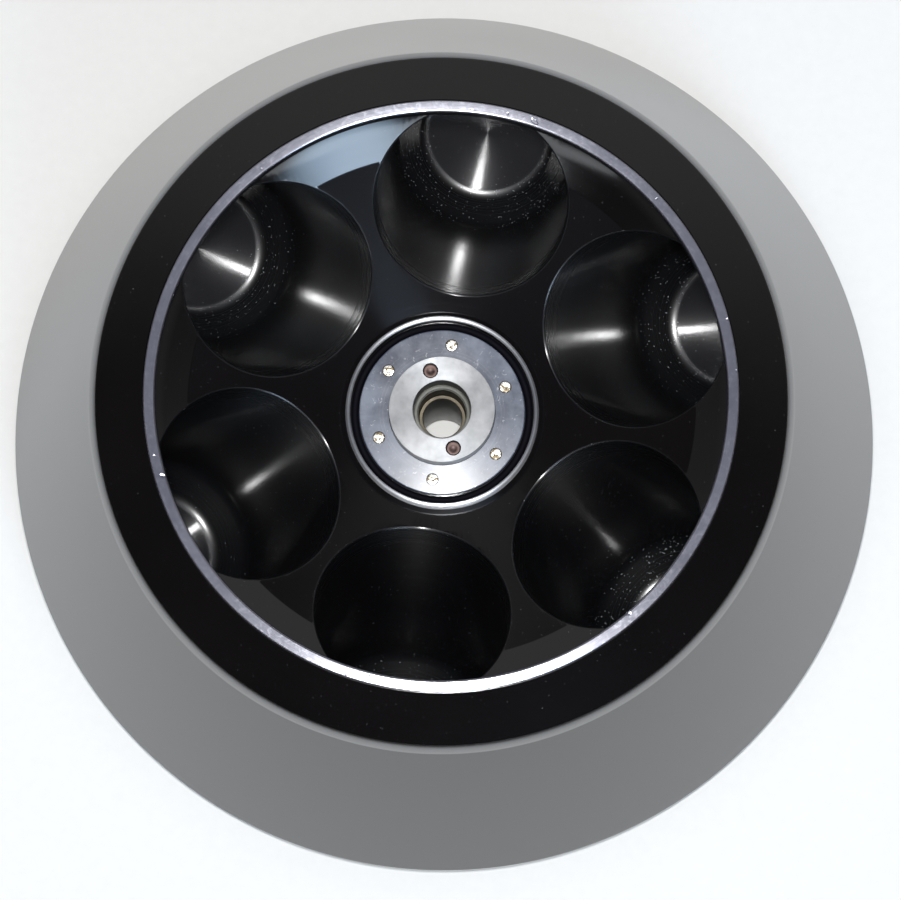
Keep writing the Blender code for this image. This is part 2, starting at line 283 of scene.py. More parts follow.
def split_long(points, longest):
    """Add points along the outline's long stretches, so that no stretch is over a length."""
    result = [points[0]]
    for start, end in zip(points, points[1:]):
        length = math.dist(start, end)
        pieces = max(1, math.ceil(length / longest))
        for piece in range(1, pieces + 1):
            share = piece / pieces
            result.append((start[0] + (end[0] - start[0]) * share,
                           start[1] + (end[1] - start[1]) * share))
    return result


# ---------------------------------------------------------------- meshes

def mesh_object(name, form, materials):
    """An object made from a bmesh, which is used up."""
    mesh = bpy.data.meshes.new(name)
    form.to_mesh(mesh)
    form.free()
    for material in materials:
        mesh.materials.append(material)
    item = bpy.data.objects.new(name, mesh)
    bpy.context.scene.collection.objects.link(item)
    return item


def loft(form, rings, closed_ends=False, slots=None):
    """Join rings of vertices with faces.  A ring of one vertex is a pole."""
    pairs = list(zip(rings, rings[1:]))
    if closed_ends:
        pairs.append((rings[-1], rings[0]))
    for index, (upper, lower) in enumerate(pairs):
        steps = max(len(upper), len(lower))
        for step in range(steps):
            ahead = (step + 1) % steps
            if len(upper) == 1:
                corners = (upper[0], lower[step], lower[ahead])
            elif len(lower) == 1:
                corners = (upper[step], lower[0], upper[ahead])
            else:
                corners = (upper[step], lower[step], lower[ahead], upper[ahead])
            face = form.faces.new(corners)
            face.smooth = True
            if slots:
                face.material_index = slots[index]


def turned(name, outline, materials, steps=RING_STEPS, closed=True):
    """A mesh turned round Z.  A closed outline makes a ring; an open one ends on the axis."""
    form = bmesh.new()
    rings = []
    for radius, height in outline:
        if radius < 1e-6:
            rings.append([form.verts.new((0.0, 0.0, height * MM))])
            continue
        ring = []
        for step in range(steps):
            angle = 2.0 * math.pi * step / steps
            ring.append(form.verts.new((radius * MM * math.cos(angle),
                                        radius * MM * math.sin(angle), height * MM)))
        rings.append(ring)
    loft(form, rings, closed)
    return mesh_object(name, form, materials)


def bake_modifiers(item):
    """Make what an item's modifiers do its mesh."""
    depsgraph = bpy.context.evaluated_depsgraph_get()
    mesh = bpy.data.meshes.new_from_object(item.evaluated_get(depsgraph))
    item.modifiers.clear()
    item.data = mesh


def carve(item, cutters):
    """Cut the cutters out of an item, one by one, and remove them."""
    for cutter in cutters:
        boolean = item.modifiers.new("carve", "BOOLEAN")
        boolean.operation = "DIFFERENCE"
        boolean.solver = "EXACT"
        boolean.material_mode = "TRANSFER"
        boolean.object = cutter
    bake_modifiers(item)
    for cutter in cutters:
        bpy.data.objects.remove(cutter)


def close_holes(item):
    """Fill the few faces that carving drops, each like the neighbour that it lines up with."""
    form = bmesh.new()
    form.from_mesh(item.data)
    open_edges = [edge for edge in form.edges if edge.is_boundary]
    for face in bmesh.ops.holes_fill(form, edges=open_edges, sides=0)["faces"]:
        face.normal_update()
        around = [other for edge in face.edges for other in edge.link_faces if other != face]
        beside = max(around, key=lambda other: other.normal.dot(face.normal))
        face.material_index = beside.material_index
    form.to_mesh(item.data)
    form.free()


def finish_surface(item, sharp=SHARP_ANGLE):
    """Smooth shading with creases at sharp edges, the large faces ruling the normals."""
    weld = item.modifiers.new("weld", "WELD")
    weld.merge_threshold = WELD_DISTANCE
    bake_modifiers(item)
    close_holes(item)
    item.data.shade_smooth()
    item.data.set_sharp_from_angle(angle=math.radians(sharp))
    weighted = item.modifiers.new("weighted normals", "WEIGHTED_NORMAL")
    weighted.mode = "FACE_AREA"
    weighted.weight = 100
    weighted.keep_sharp = True
    bake_modifiers(item)


def piece_for(item, nodes):
    """Let the item stand in for the CAD nodes, riding on the rotor's one body."""
    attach(item, "root")
    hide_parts(*nodes)


# ---------------------------------------------------------------- body

def blank_outline():
    """Section of the body before the cavities and the underside are machined."""
    rim_inner = (SEAT_OUTER + GAP, SEAT_TOP - GAP)
    shoulder = (RIM_OUTER_RADIUS + SHOULDER_OUT, RIM_OUTER_HEIGHT - SHOULDER_DROP)
    lip_top = (BASE_RADIUS, LIP_HEIGHT)
    lip_foot = (BASE_RADIUS, 0.0)
    outline = [rim_inner]
    outline += fillet(rim_inner, shoulder, lip_top, SHOULDER_RADIUS)
    outline += fillet(shoulder, lip_top, lip_foot, EDGE_ROUNDING, SMALL_ARC_STEPS)
    outline += fillet(lip_top, lip_foot, (0.0, 0.0), EDGE_ROUNDING, SMALL_ARC_STEPS)
    outline += [(BODY_BORE, 0.0), (BODY_BORE, HUB_BOTTOM - GAP)]
    outline += [(HUB_OUTER + GAP, HUB_BOTTOM - GAP), (HUB_OUTER + GAP, RECESS_FLOOR)]
    outline += [(RECESS_RADIUS, RECESS_FLOOR)]
    recess_top = (RECESS_RADIUS, floor_height(RECESS_RADIUS))
    crease = (CREASE_RADIUS, floor_height(CREASE_RADIUS))
    floor_edge = (FLOOR_EDGE_RADIUS, floor_height(FLOOR_EDGE_RADIUS))
    outline += fillet((RECESS_RADIUS, RECESS_FLOOR), recess_top, crease, RECESS_ROUNDING,
                      SMALL_ARC_STEPS)
    bend = fillet(recess_top, crease, floor_edge, CREASE_ROUNDING, BEND_STEPS)
    outline += split_long([outline[-1]] + bend + [floor_edge], FLOOR_STRETCH)[1:]
    step_top = floor_height(UNDERCUT_RADIUS)
    outline += [(UNDERCUT_RADIUS, step_top), (UNDERCUT_RADIUS, step_top + UNDERCUT_HEIGHT)]
    seat_floor = SEAT_BOTTOM - GAP
    outline += [(NECK_RADIUS, NECK_HEIGHT), (NECK_RADIUS, seat_floor)]
    outline += [(SEAT_OUTER + GAP, seat_floor)]
    return outline


def underside_outline():
    """Section of the hollow below the web, between the skirt and the centre boss."""
    slope = (BASE_RADIUS - RIM_OUTER_RADIUS) / (RIM_OUTER_HEIGHT - LIP_HEIGHT)
    wall_radius = BASE_RADIUS - SKIRT_THICKNESS
    wall_foot = (wall_radius, LIP_HEIGHT - SKIRT_FOOT_DROP)
    rise = (CREASE_RADIUS - MOUTH_CENTRE_RADIUS) * math.tan(math.radians(FLOOR_ANGLE))
    outer = (CEILING_RADIUS - CREASE_RADIUS) * math.tan(math.radians(OUTER_FLOOR_ANGLE))
    ceiling = MOUTH_CENTRE_HEIGHT + rise + outer - WEB_THICKNESS - CEILING_DROP
    wall_height = ceiling - WALL_TOP_DROP
    wall_top = (wall_radius - (wall_height - wall_foot[1]) * slope, wall_height)
    boss_top = floor_height(BOSS_TOP_RADIUS) - WEB_THICKNESS - BOSS_DROP
    return [(0.0, BOSS_BOTTOM), (BOSS_BOTTOM_RADIUS, BOSS_BOTTOM),
            (BOSS_TOP_RADIUS, boss_top), (BOSS_TOP_RADIUS + BOSS_BEVEL, boss_top + BOSS_BEVEL),
            (CEILING_RADIUS, ceiling), wall_top, wall_foot,
            (wall_radius, CUT_BELOW), (0.0, CUT_BELOW)]


def cavity_matrix(azimuth):
    """From a cavity's own frame, with its axis up through the mouth, to the rotor's."""
    turn = Matrix.Rotation(math.radians(azimuth), 4, "Z")
    shift = Matrix.Translation((MOUTH_CENTRE_RADIUS, 0.0, MOUTH_CENTRE_HEIGHT))
    tilt = Matrix.Rotation(-math.radians(CAVITY_ANGLE), 4, "Y")
    return turn @ shift @ tilt


def cavity_azimuths():
    """Directions of the cavities, counterclockwise from +X, in degrees."""
    return [90.0 + 360.0 * index / CAVITY_COUNT for index in range(CAVITY_COUNT)]


def floor_along_axis(radius, angle):
    """Where the line beside a cavity's axis, at this radius and angle, meets the floor."""
    place = cavity_matrix(0.0)
    low, high = -CUTTER_OVERRUN, CUTTER_OVERRUN
    halvings = 30
    for _ in range(halvings):
        middle = (low + high) / 2.0
        point = place @ Vector((radius * math.cos(angle), radius * math.sin(angle), middle))
        if point.z > floor_height(math.hypot(point.x, point.y)):
            high = middle
        else:
            low = middle
    return (low + high) / 2.0


def cavity_section(angle):
    """A cavity's outline at an angle round its axis, its mouth edge rounded to the floor."""
    below = 10.0
    edge = floor_along_axis(CAVITY_RADIUS, angle)
    beyond = floor_along_axis(CAVITY_RADIUS + MOUTH_REACH, angle)
    bend = fillet((CAVITY_RADIUS, edge - below), (CAVITY_RADIUS, edge),
                  (CAVITY_RADIUS + MOUTH_REACH, beyond), MOUTH_ROUNDING, MOUTH_STEPS)
    last, before_last = Vector(bend[-2]), Vector(bend[-3])
    onward = last + (last - before_last).normalized() * MOUTH_OVERRUN
    top = (onward.x, CUTTER_OVERRUN)
    bend = bend[:-1] + [tuple(onward)]
    wall_foot = (CAVITY_RADIUS, CAVITY_FLOOR_START)
    disc_edge = (CAVITY_RADIUS - CAVITY_CHAMFER, -CAVITY_DEPTH)
    disc_centre = (0.0, -CAVITY_DEPTH)
    corner = fillet((CAVITY_RADIUS, 0.0), wall_foot, disc_edge, CAVITY_WALL_ROUNDING)
    corner += fillet(wall_foot, disc_edge, disc_centre, CAVITY_FLOOR_ROUNDING)
    wall = split_long([bend[0], corner[0]], WALL_STRETCH)[1:-1]
    disc = split_long([corner[-1], disc_centre], DISC_STRETCH)[1:-1]
    return [top] + bend[::-1] + wall + corner + disc


def cavity_cutter(azimuth, materials):
    """A cavity as a solid, with the materials of its wall, of the band round its bottom and
    of the flat bottom itself."""
    place = Matrix.Scale(MM, 4) @ cavity_matrix(azimuth)
    sections = []
    for step in range(CAVITY_STEPS):
        angle = 2.0 * math.pi * step / CAVITY_STEPS
        sections.append([(radius * math.cos(angle), radius * math.sin(angle), height)
                         for radius, height in cavity_section(angle)])
    form = bmesh.new()
    rings = [[form.verts.new(place @ Vector((0.0, 0.0, CUTTER_OVERRUN)))]]
    for level in range(len(sections[0])):
        rings.append([form.verts.new(place @ Vector(section[level])) for section in sections])
    rings.append([form.verts.new(place @ Vector((0.0, 0.0, -CAVITY_DEPTH)))])
    band_top = CAVITY_FLOOR_START + BAND_MARGIN
    band_bottom = DISC_MARGIN - CAVITY_DEPTH
    slots = []
    for point in sections[0] + [sections[0][-1]]:
        if point[2] > band_top:
            slots.append(0)
        else:
            slots.append(1 if point[2] > band_bottom else 2)
    loft(form, rings, slots=slots)
    return mesh_object("cavity_cutter", form, materials)


def cup_form(azimuth):
    """The outside of the cup that shows on the underside round a cavity."""
    top = (CAVITY_RADIUS + CUP_WALL, CUP_TOP)
    foot = (CAVITY_RADIUS + CUP_WALL, -CAVITY_DEPTH - CUP_FLOOR)
    centre = (0.0, -CAVITY_DEPTH - CUP_FLOOR)
    outline = [(0.0, CUP_TOP), top] + fillet(top, foot, centre, CUP_FILLET) + [centre]
    item = turned("cup_form", outline, [], CAVITY_STEPS, closed=False)
    item.data.transform(Matrix.Scale(MM, 4) @ cavity_matrix(azimuth) @ Matrix.Scale(1 / MM, 4))
    return item


def paint_body(body):
    """Give the body's faces the outside look, the well look or the shoulder look."""
    skirt_slope = math.atan2(BASE_RADIUS - RIM_OUTER_RADIUS, RIM_OUTER_HEIGHT - LIP_HEIGHT)
    slope_margin = 0.02
    well_margin, floor_margin = 4.0, 1.0
    for face in body.data.polygons:
        centre = face.center / MM
        radius = math.hypot(centre.x, centre.y)
        in_well = radius < SEAT_OUTER + well_margin and centre.z > RECESS_FLOOR - floor_margin
        rim_face = radius > SEAT_OUTER and centre.z > RIM_OUTER_HEIGHT
        rise = math.asin(max(-1.0, min(1.0, face.normal.z)))
        turning = skirt_slope + slope_margin < rise < RIM_FACE_RISE
        if in_well and not rim_face:
            face.material_index = 1
        elif turning and centre.z > RIM_OUTER_HEIGHT - 2.0 * SHOULDER_RADIUS:
            face.material_index = 2


def make_body(looks):
    body = turned("rotor_body_machined", blank_outline(),
                  [looks["outside"], looks["well"], looks["shoulder"]], TURNED_STEPS)
    paint_body(body)
    hollow = turned("underside_cutter", underside_outline(), [looks["underside"]],
                    TURNED_STEPS, closed=False)
    carve(hollow, [cup_form(azimuth) for azimuth in cavity_azimuths()])
    cavity_looks = [looks["cavity_wall"], looks["cavity_band"], looks["cavity_floor"]]
    cutters = [hollow]
    cutters += [cavity_cutter(azimuth, cavity_looks) for azimuth in cavity_azimuths()]
    carve(body, cutters)
    finish_surface(body)
    piece_for(body, ["rotor_body"])


def make_seat_ring(look):
    outline = [(SEAT_OUTER, SEAT_TOP), (SEAT_OUTER, SEAT_BOTTOM), (SEAT_INNER, SEAT_BOTTOM),
               (SEAT_INNER, SEAT_TOP)]
    ring = turned("lid_seat_ring_turned", rounded(outline, SEAT_EDGES), [look], TURNED_STEPS)
    finish_surface(ring, RING_SHARP_ANGLE)
    piece_for(ring, ["lid_seat_ring"])


# ---------------------------------------------------------------- hub

def line_bore(item, radius):
    """Give the faces inside a radius the item's second material."""
    for face in item.data.polygons:
        if math.hypot(face.center.x, face.center.y) < radius * MM:
            face.material_index = 1


def make_collar(look, bore):
    outline = [(COLLAR_OUTER, COLLAR_TOP), (COLLAR_OUTER, COLLAR_BOTTOM),
               (COLLAR_INNER, COLLAR_BOTTOM), (COLLAR_INNER, COLLAR_TOP)]
    collar = turned("hub_collar_turned", rounded(outline, COLLAR_EDGES), [look, bore])
    line_bore(collar, COLLAR_INNER + BORE_MARGIN)
    finish_surface(collar, RING_SHARP_ANGLE)
    piece_for(collar, ["hub_collar"])


def make_o_ring(look):
    wire = (O_RING_TOP - O_RING_BOTTOM) / 2.0
    centre = O_RING_OUTER - wire
    height = O_RING_BOTTOM + wire
    outline = []
    for side in range(WIRE_STEPS):
        angle = math.pi / 2.0 - 2.0 * math.pi * side / WIRE_STEPS
        outline.append((centre + wire * math.cos(angle), height + wire * math.sin(angle)))
    ring = turned("hub_o_ring_moulded", outline, [look])
    finish_surface(ring, RING_SHARP_ANGLE)
    piece_for(ring, ["hub_o_ring"])


def column(radius, bottom, top, centre):
    """A plain upright cylinder used as a cutter."""
    item = turned("cutter", [(0.0, top), (radius, top), (radius, bottom), (0.0, bottom)], [],
                  SMALL_STEPS, closed=False)
    item.data.transform(Matrix.Translation((centre.x, centre.y, 0.0)))
    return item


def make_plate(look):
    inner = HUB_OUTER + 2.0 * HAIRLINE
    outline = [(PLATE_OUTER, PLATE_TOP - PLATE_CROWN), (PLATE_OUTER, PLATE_BOTTOM),
               (inner, PLATE_BOTTOM), (inner, PLATE_TOP)]
    plate = turned("hub_plate_turned", rounded(outline, PLATE_EDGES), [look])
    cutters = []
    for index in range(CAVITY_COUNT):
        node = f"hub_screw_{index + 1}"
        cutters.append(column(node_radius(node) + HAIRLINE, PLATE_BOTTOM - CUT_UNDER_PLATE,
                              PLATE_TOP + CUT_PAST, node_centre(node)))
    carve(plate, cutters)
    finish_surface(plate)
    piece_for(plate, ["hub_plate"])


def make_drive_hub(look, bore):
    outline = [(HUB_OUTER, HUB_TOP), (HUB_OUTER, HUB_BOTTOM), (LOWER_BORE, HUB_BOTTOM),
               (LOWER_BORE, HUB_STEP), (HUB_BORE, HUB_STEP), (HUB_BORE, HUB_TOP)]
    hub = turned("drive_hub_turned", rounded(outline, HUB_EDGES), [look, bore])
    line_bore(hub, HUB_BORE + BORE_MARGIN)
    cutters = []
    for pin in ("drive_pin_1", "drive_pin_2"):
        low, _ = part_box(pin)
        cutters.append(column(node_radius(pin) + PIN_CLEARANCE, low.z / MM - GAP,
                              HUB_TOP + CUT_PAST, node_centre(pin)))
    carve(hub, cutters)
    finish_surface(hub)
    piece_for(hub, ["drive_hub"])


def make_pin(node, look):
    low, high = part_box(node)
    radius = node_radius(node)
    bottom, top = low.z / MM, high.z / MM
    dimple = top - PIN_DIMPLE
    outline = [(0.0, dimple), (radius * PIN_DIMPLE_FLOOR, dimple),
               (radius * PIN_DIMPLE_RIM, top)]
    outline += fillet((0.0, top), (radius, top), (radius, bottom), PIN_ROUNDING, EDGE_STEPS)
    outline += [(radius, bottom), (0.0, bottom)]
    pin = turned(node + "_ground", outline, [look], SMALL_STEPS, closed=False)
    centre = node_centre(node)
    pin.data.transform(Matrix.Translation((centre.x, centre.y, 0.0)))
    finish_surface(pin, RING_SHARP_ANGLE)
    piece_for(pin, [node])


def make_screw(node, look):
    """A countersunk screw with a hexagon socket, its head towards the open end."""
    low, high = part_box(node)
    head = node_radius(node)
    length = (high.z - low.z) / MM
    shank = head * SCREW_SHANK_SHARE
    neck = (shank, -SCREW_HEAD_DEPTH)
    outline = [(0.0, 0.0)]
    outline += fillet((0.0, 0.0), (head, 0.0), neck, SCREW_ROUNDING, SMALL_ARC_STEPS)
    outline += [neck, (shank, -length), (0.0, -length)]
    screw = turned(node + "_head", outline, [look], SMALL_STEPS, closed=False)
    key = [(0.0, KEY_TOP), (KEY_MOUTH_RADIUS, KEY_TOP), (KEY_RADIUS, -KEY_LEAD_IN),
           (KEY_RADIUS, -KEY_DEPTH), (0.0, -KEY_POINT)]
    carve(screw, [turned("socket", key, [look], KEY_SIDES, closed=False)])
    centre = node_centre(node)
    if node.startswith("hub"):
        place = Matrix.Translation((centre.x, centre.y, high.z))
    else:
        place = Matrix.Translation((centre.x, centre.y, low.z)) @ Matrix.Rotation(math.pi, 4, "X")
    screw.data.transform(place)
    finish_surface(screw)
    piece_for(screw, [node])


def make_bush(look, bore):
    outline = [(BUSH_OUTER, BUSH_TOP), (BUSH_OUTER, BUSH_BOTTOM), (BUSH_BORE, BUSH_BOTTOM),
               (BUSH_BORE, BUSH_TOP)]
    bush = turned("bore_bush_turned", rounded(outline, BUSH_EDGES), [look, bore])
    line_bore(bush, BUSH_BORE + BORE_MARGIN)
    finish_surface(bush, RING_SHARP_ANGLE)
    piece_for(bush, ["bore_bush"])


def make_snap_ring(look):
    outline = [(SNAP_OUTER, SNAP_TOP), (SNAP_OUTER, SNAP_BOTTOM), (SNAP_INNER, SNAP_BOTTOM),
               (SNAP_INNER, SNAP_TOP)]
    ring = turned("snap_ring_sprung", rounded(outline, SNAP_EDGES), [look])
    finish_surface(ring, RING_SHARP_ANGLE)
    piece_for(ring, ["snap_ring"])


# ---------------------------------------------------------------- underside

def make_adapter(look, bore):
    outer = BODY_BORE - GAP
    flange_top = BOSS_BOTTOM - GAP
    outline = [(outer, ADAPTER_TOP), (outer, flange_top), (FLANGE_OUTER, flange_top),
               (FLANGE_OUTER, FLANGE_BOTTOM), (SOCKET_RADIUS, FLANGE_BOTTOM),
               (ADAPTER_BORE, SOCKET_TOP), (ADAPTER_BORE, ADAPTER_TOP)]
    adapter = turned("drive_adapter_turned", rounded(outline, ADAPTER_EDGES), [look, bore])
    line_bore(adapter, SOCKET_RADIUS + SOCKET_MARGIN)
    cutters = []
    for index in range(ADAPTER_SCREWS):
        node = f"adapter_screw_{index + 1}"
        cutters.append(column(node_radius(node) + GAP, FLANGE_BOTTOM - CUT_PAST,
                              flange_top + CUT_PAST, node_centre(node)))
    carve(adapter, cutters)
    finish_surface(adapter)
    piece_for(adapter, ["drive_adapter"])


def make_speed_disc(look):
    outline = [(DISC_OUTER, DISC_TOP), (DISC_OUTER, DISC_BOTTOM),
               (SPEED_DISC_INNER, DISC_BOTTOM), (SPEED_DISC_INNER, DISC_TOP)]
    disc = turned("speed_disc_film", rounded(outline, DISC_EDGES), [look])
    finish_surface(disc, RING_SHARP_ANGLE)
    piece_for(disc, ["speed_disc"])


# ---------------------------------------------------------------- materials

class Look:
    """A Principled material and short ways to add nodes to it."""

    def __init__(self, name, metallic=0.0, ior=1.5, anisotropy=0.0):
        self.material = bpy.data.materials.new(name)
        self.material.use_nodes = True
        self.tree = self.material.node_tree
        self.shader = self.tree.nodes["Principled BSDF"]
        self.set("Metallic", metallic)
        self.set("IOR", ior)
        self.set("Anisotropic", anisotropy)
        self.place = self.node("ShaderNodeTexCoord").outputs["Object"]

    def node(self, kind, **settings):
        item = self.tree.nodes.new(kind)
        for key, value in settings.items():
            setattr(item, key, value)
        return item

    def feed(self, item, socket, value):
        """Link an output to a socket, or set the socket to a plain value."""
        if isinstance(value, bpy.types.NodeSocket):
            self.tree.links.new(value, item.inputs[socket])
        else:
            item.inputs[socket].default_value = value

    def set(self, socket, value):
        self.feed(self.shader, socket, value)

    def math(self, operation, first, second=0.0):
        item = self.node("ShaderNodeMath", operation=operation)
        self.feed(item, 0, first)
        self.feed(item, 1, second)
        return item.outputs[0]

    def vector(self, operation, first, second=(0.0, 0.0, 0.0), output=0):
        item = self.node("ShaderNodeVectorMath", operation=operation)
        self.feed(item, 0, first)
        self.feed(item, 1, second)
        return item.outputs[output]

    def parts(self, vector):
        """The three parts of a vector."""
        item = self.node("ShaderNodeSeparateXYZ")
        self.feed(item, 0, vector)
        return item.outputs

    def join(self, x=0.0, y=0.0, z=0.0):
        """A vector from its three parts."""
        item = self.node("ShaderNodeCombineXYZ")
        for index, value in enumerate((x, y, z)):
            self.feed(item, index, value)
        return item.outputs[0]

    def noise(self, scale, detail=2.0, roughness=0.5, place=None, distortion=0.0):
        item = self.node("ShaderNodeTexNoise")
        self.feed(item, "Vector", place or self.place)
        self.feed(item, "Scale", scale)
        self.feed(item, "Detail", detail)
        self.feed(item, "Roughness", roughness)
        self.feed(item, "Distortion", distortion)
        return item.outputs["Fac"]

    def level(self, value, low, high, to_low=0.0, to_high=1.0):
        """Map a value from one range to another, held inside the new range."""
        item = self.node("ShaderNodeMapRange")
        for index, number in enumerate((value, low, high, to_low, to_high)):
            self.feed(item, index, number)
        return item.outputs[0]

    def mix(self, share, first, second):
        """Blend two colours."""
        item = self.node("ShaderNodeMix", data_type="RGBA")
        self.feed(item, 0, share)
        for socket, colour in ((6, first), (7, second)):
            if not isinstance(colour, bpy.types.NodeSocket):
                colour = (*colour, 1.0)
            self.feed(item, socket, colour)
        return item.outputs[2]

    def bump(self, height, distance):
        """Dent the surface by a height from 0 to 1 that spans a distance in millimetres."""
        item = self.node("ShaderNodeBump")
        self.feed(item, "Height", height)
        self.feed(item, "Distance", distance * MM)
        before = self.shader.inputs["Normal"]
        if before.is_linked:
            self.feed(item, "Normal", before.links[0].from_socket)
        self.set("Normal", item.outputs[0])

    def rings_about_spin_axis(self):
        """Lathe rings round Z: where they run, and which way they blur reflections."""
        x, y, z = self.parts(self.place)
        flat = self.join(x, y)
        self.across = self.join(self.vector("LENGTH", flat, output=1), 0.0, z)
        outward = self.vector("NORMALIZE", flat)
        self.set("Tangent", self.vector("ADD", outward, (0.0, 0.0, -1.0)))

    def rings_about_cavity_axis(self):
        """Boring rings round the axis of the nearest cavity."""
        place, turn = self.cavity_place()
        x, y, z = self.parts(place)
        flat = self.join(x, y)
        self.across = self.join(self.vector("LENGTH", flat, output=1), 0.0, z)
        outward = self.vector("NORMALIZE", flat)
        blur = self.vector("ADD", outward, (0.0, 0.0, 1.0))
        blur = self.turn_about("Y_AXIS", blur, -math.radians(CAVITY_ANGLE))
        self.set("Tangent", self.turn_about("Z_AXIS", blur, turn))

    def lathe_marks(self, pitch):
        """Fine rings of uneven strength, a pitch apart in millimetres."""
        return self.noise(1.0 / (pitch * MM), 3.0, 0.6, self.across)

    def cavity_place(self):
        """Position in the frame of the nearest cavity, and the turn that leads back from it."""
        x, y, _ = self.parts(self.place)
        spacing = 2.0 * math.pi / CAVITY_COUNT
        angle = self.math("ARCTAN2", y, x)
        shifted = self.math("SUBTRACT", angle, math.pi / 2.0)
        number = self.math("ROUND", self.math("DIVIDE", shifted, spacing))
        turn = self.math("ADD", self.math("MULTIPLY", number, spacing), math.pi / 2.0)
        place = self.turn_about("Z_AXIS", self.place, self.math("MULTIPLY", turn, -1.0))
        mouth = (MOUTH_CENTRE_RADIUS * MM, 0.0, MOUTH_CENTRE_HEIGHT * MM)
        place = self.vector("SUBTRACT", place, mouth)
        return self.turn_about("Y_AXIS", place, math.radians(CAVITY_ANGLE)), turn

    def turn_about(self, axis, vector, angle):
        item = self.node("ShaderNodeVectorRotate", rotation_type=axis)
        self.feed(item, "Vector", vector)
        self.feed(item, "Angle", angle)
        return item.outputs[0]


def dust(look, colour, amount, strength):
    """Sparse pale specks, thicker in patches, mixed over a colour."""
    specks = look.noise(1500.0, 1.0, 0.5)
    patches = look.noise(14.0, 2.0, 0.5)
    spread = look.math("MULTIPLY", look.level(patches, 0.35, 0.8, 0.0, 0.035), amount)
    threshold = 0.79
    share = look.math("GREATER_THAN", look.math("ADD", specks, spread), threshold)
    return look.mix(look.math("MULTIPLY", share, strength), colour, (0.30, 0.32, 0.34))


def anodised(name, roughness, marks, ior=1.5):
    """Black hard-anodised aluminium: an uneven dye, faint lathe rings, dust."""
    look = Look(name, ior=ior, anisotropy=0.5)
    cloud = look.noise(22.0, 3.0, 0.55)
    colour = look.mix(cloud, (0.0018, 0.0015, 0.0016), (0.0050, 0.0042, 0.0044))
    look.set("Base Color", dust(look, colour, amount=0.2, strength=0.3))
    smear = look.noise(9.0, 3.0, 0.6)
    look.rings_about_spin_axis()
    rings = look.lathe_marks(0.7)
    sheen_patches = look.level(smear, 0.35, 0.75, roughness, roughness + 0.03)
    look.set("Roughness", look.math("ADD", sheen_patches, look.level(rings, 0.3, 0.7, -0.01, 0.01)))
    look.bump(rings, 0.0012 * marks)
    look.bump(look.noise(2600.0, 2.0, 0.6), 0.0006)
    return look


def outside_look():
    return anodised("anodised_outside", roughness=0.11, marks=0.5).material


def shoulder_look():
    """The rim's outer edge, burnished by years of handling."""
    return anodised("anodised_burnished", roughness=0.16, marks=0.5, ior=3.1).material


def well_look():
    return anodised("anodised_well", roughness=0.09, marks=0.6).material


def underside_look():
    return anodised("anodised_underside", roughness=0.30, marks=2.0).material


def cavity_look(name, pitch, depth, dirt, roughness, mouth_roughness, anisotropy=0.97):
    """A bored surface, with fine rings round the cavity's own axis under a little oil, and
    rubbed duller towards the mouth."""
    look = Look(name, ior=1.62, anisotropy=anisotropy)
    look.rings_about_cavity_axis()
    rings = look.lathe_marks(pitch)
    cloud = look.noise(40.0, 3.0, 0.6)
    colour = look.mix(cloud, (0.0016, 0.0018, 0.0022), (0.0045, 0.0048, 0.0056))
    look.set("Base Color", dust(look, colour, amount=dirt, strength=0.7))
    height = look.parts(look.across)[2]
    rubbed = look.level(height, -0.055, -0.010, roughness, mouth_roughness)
    look.set("Roughness", look.math("ADD", rubbed, look.level(rings, 0.3, 0.7, 0.0, 0.04)))
    look.set("Coat Weight", 0.22)
    look.set("Coat Roughness", 0.38)
    look.bump(rings, depth)
    return look.material


def cavity_wall_look():
    return cavity_look("cavity_wall", pitch=0.9, depth=0.0010, dirt=1.0, roughness=0.135,
                       mouth_roughness=0.25)


def cavity_band_look():
    return cavity_look("cavity_band", pitch=0.5, depth=0.0010, dirt=3.8, roughness=0.24,
                       mouth_roughness=0.24, anisotropy=0.5)


def cavity_floor_look():
    return cavity_look("cavity_floor", pitch=0.5, depth=0.0014, dirt=1.0, roughness=0.15,
                       mouth_roughness=0.15)


def turned_metal(name, colours, roughness, pitch, depth, anisotropy, dings=0.0):
    """Bare turned metal: rings round Z, a mottled tone, handling scuffs and small dings."""
    look = Look(name, metallic=1.0, anisotropy=anisotropy)
    mottle = look.noise(170.0, 3.0, 0.6)
    stain = look.noise(60.0, 2.0, 0.5)
    tone = look.math("ADD", look.math("MULTIPLY", mottle, 0.5),
                     look.math("MULTIPLY", stain, 0.5))
    look.set("Base Color", look.mix(look.level(tone, 0.3, 0.7), *colours))
    scuff = look.noise(420.0, 4.0, 0.7, distortion=1.5)
    base = look.level(scuff, 0.50, 0.75, roughness, roughness + 0.05)
    look.rings_about_spin_axis()
    rings = look.lathe_marks(pitch)
    look.set("Roughness", look.math("ADD", base, look.level(rings, 0.3, 0.7, -0.02, 0.02)))
    look.bump(rings, depth)
    if dings:
        look.bump(look.level(look.noise(260.0, 1.0), 0.71, 0.76), -dings)
    return look.material


def seat_look():
    colours = ((0.275, 0.275, 0.31), (0.41, 0.41, 0.455))
    return turned_metal("seat_bare", colours, roughness=0.15, pitch=0.25, depth=0.0008,
                        anisotropy=0.74, dings=0.05)


def collar_look():
    colours = ((0.32, 0.33, 0.35), (0.42, 0.43, 0.45))
    return turned_metal("collar_bright", colours, roughness=0.33, pitch=0.3, depth=0.0006,
                        anisotropy=1.0)


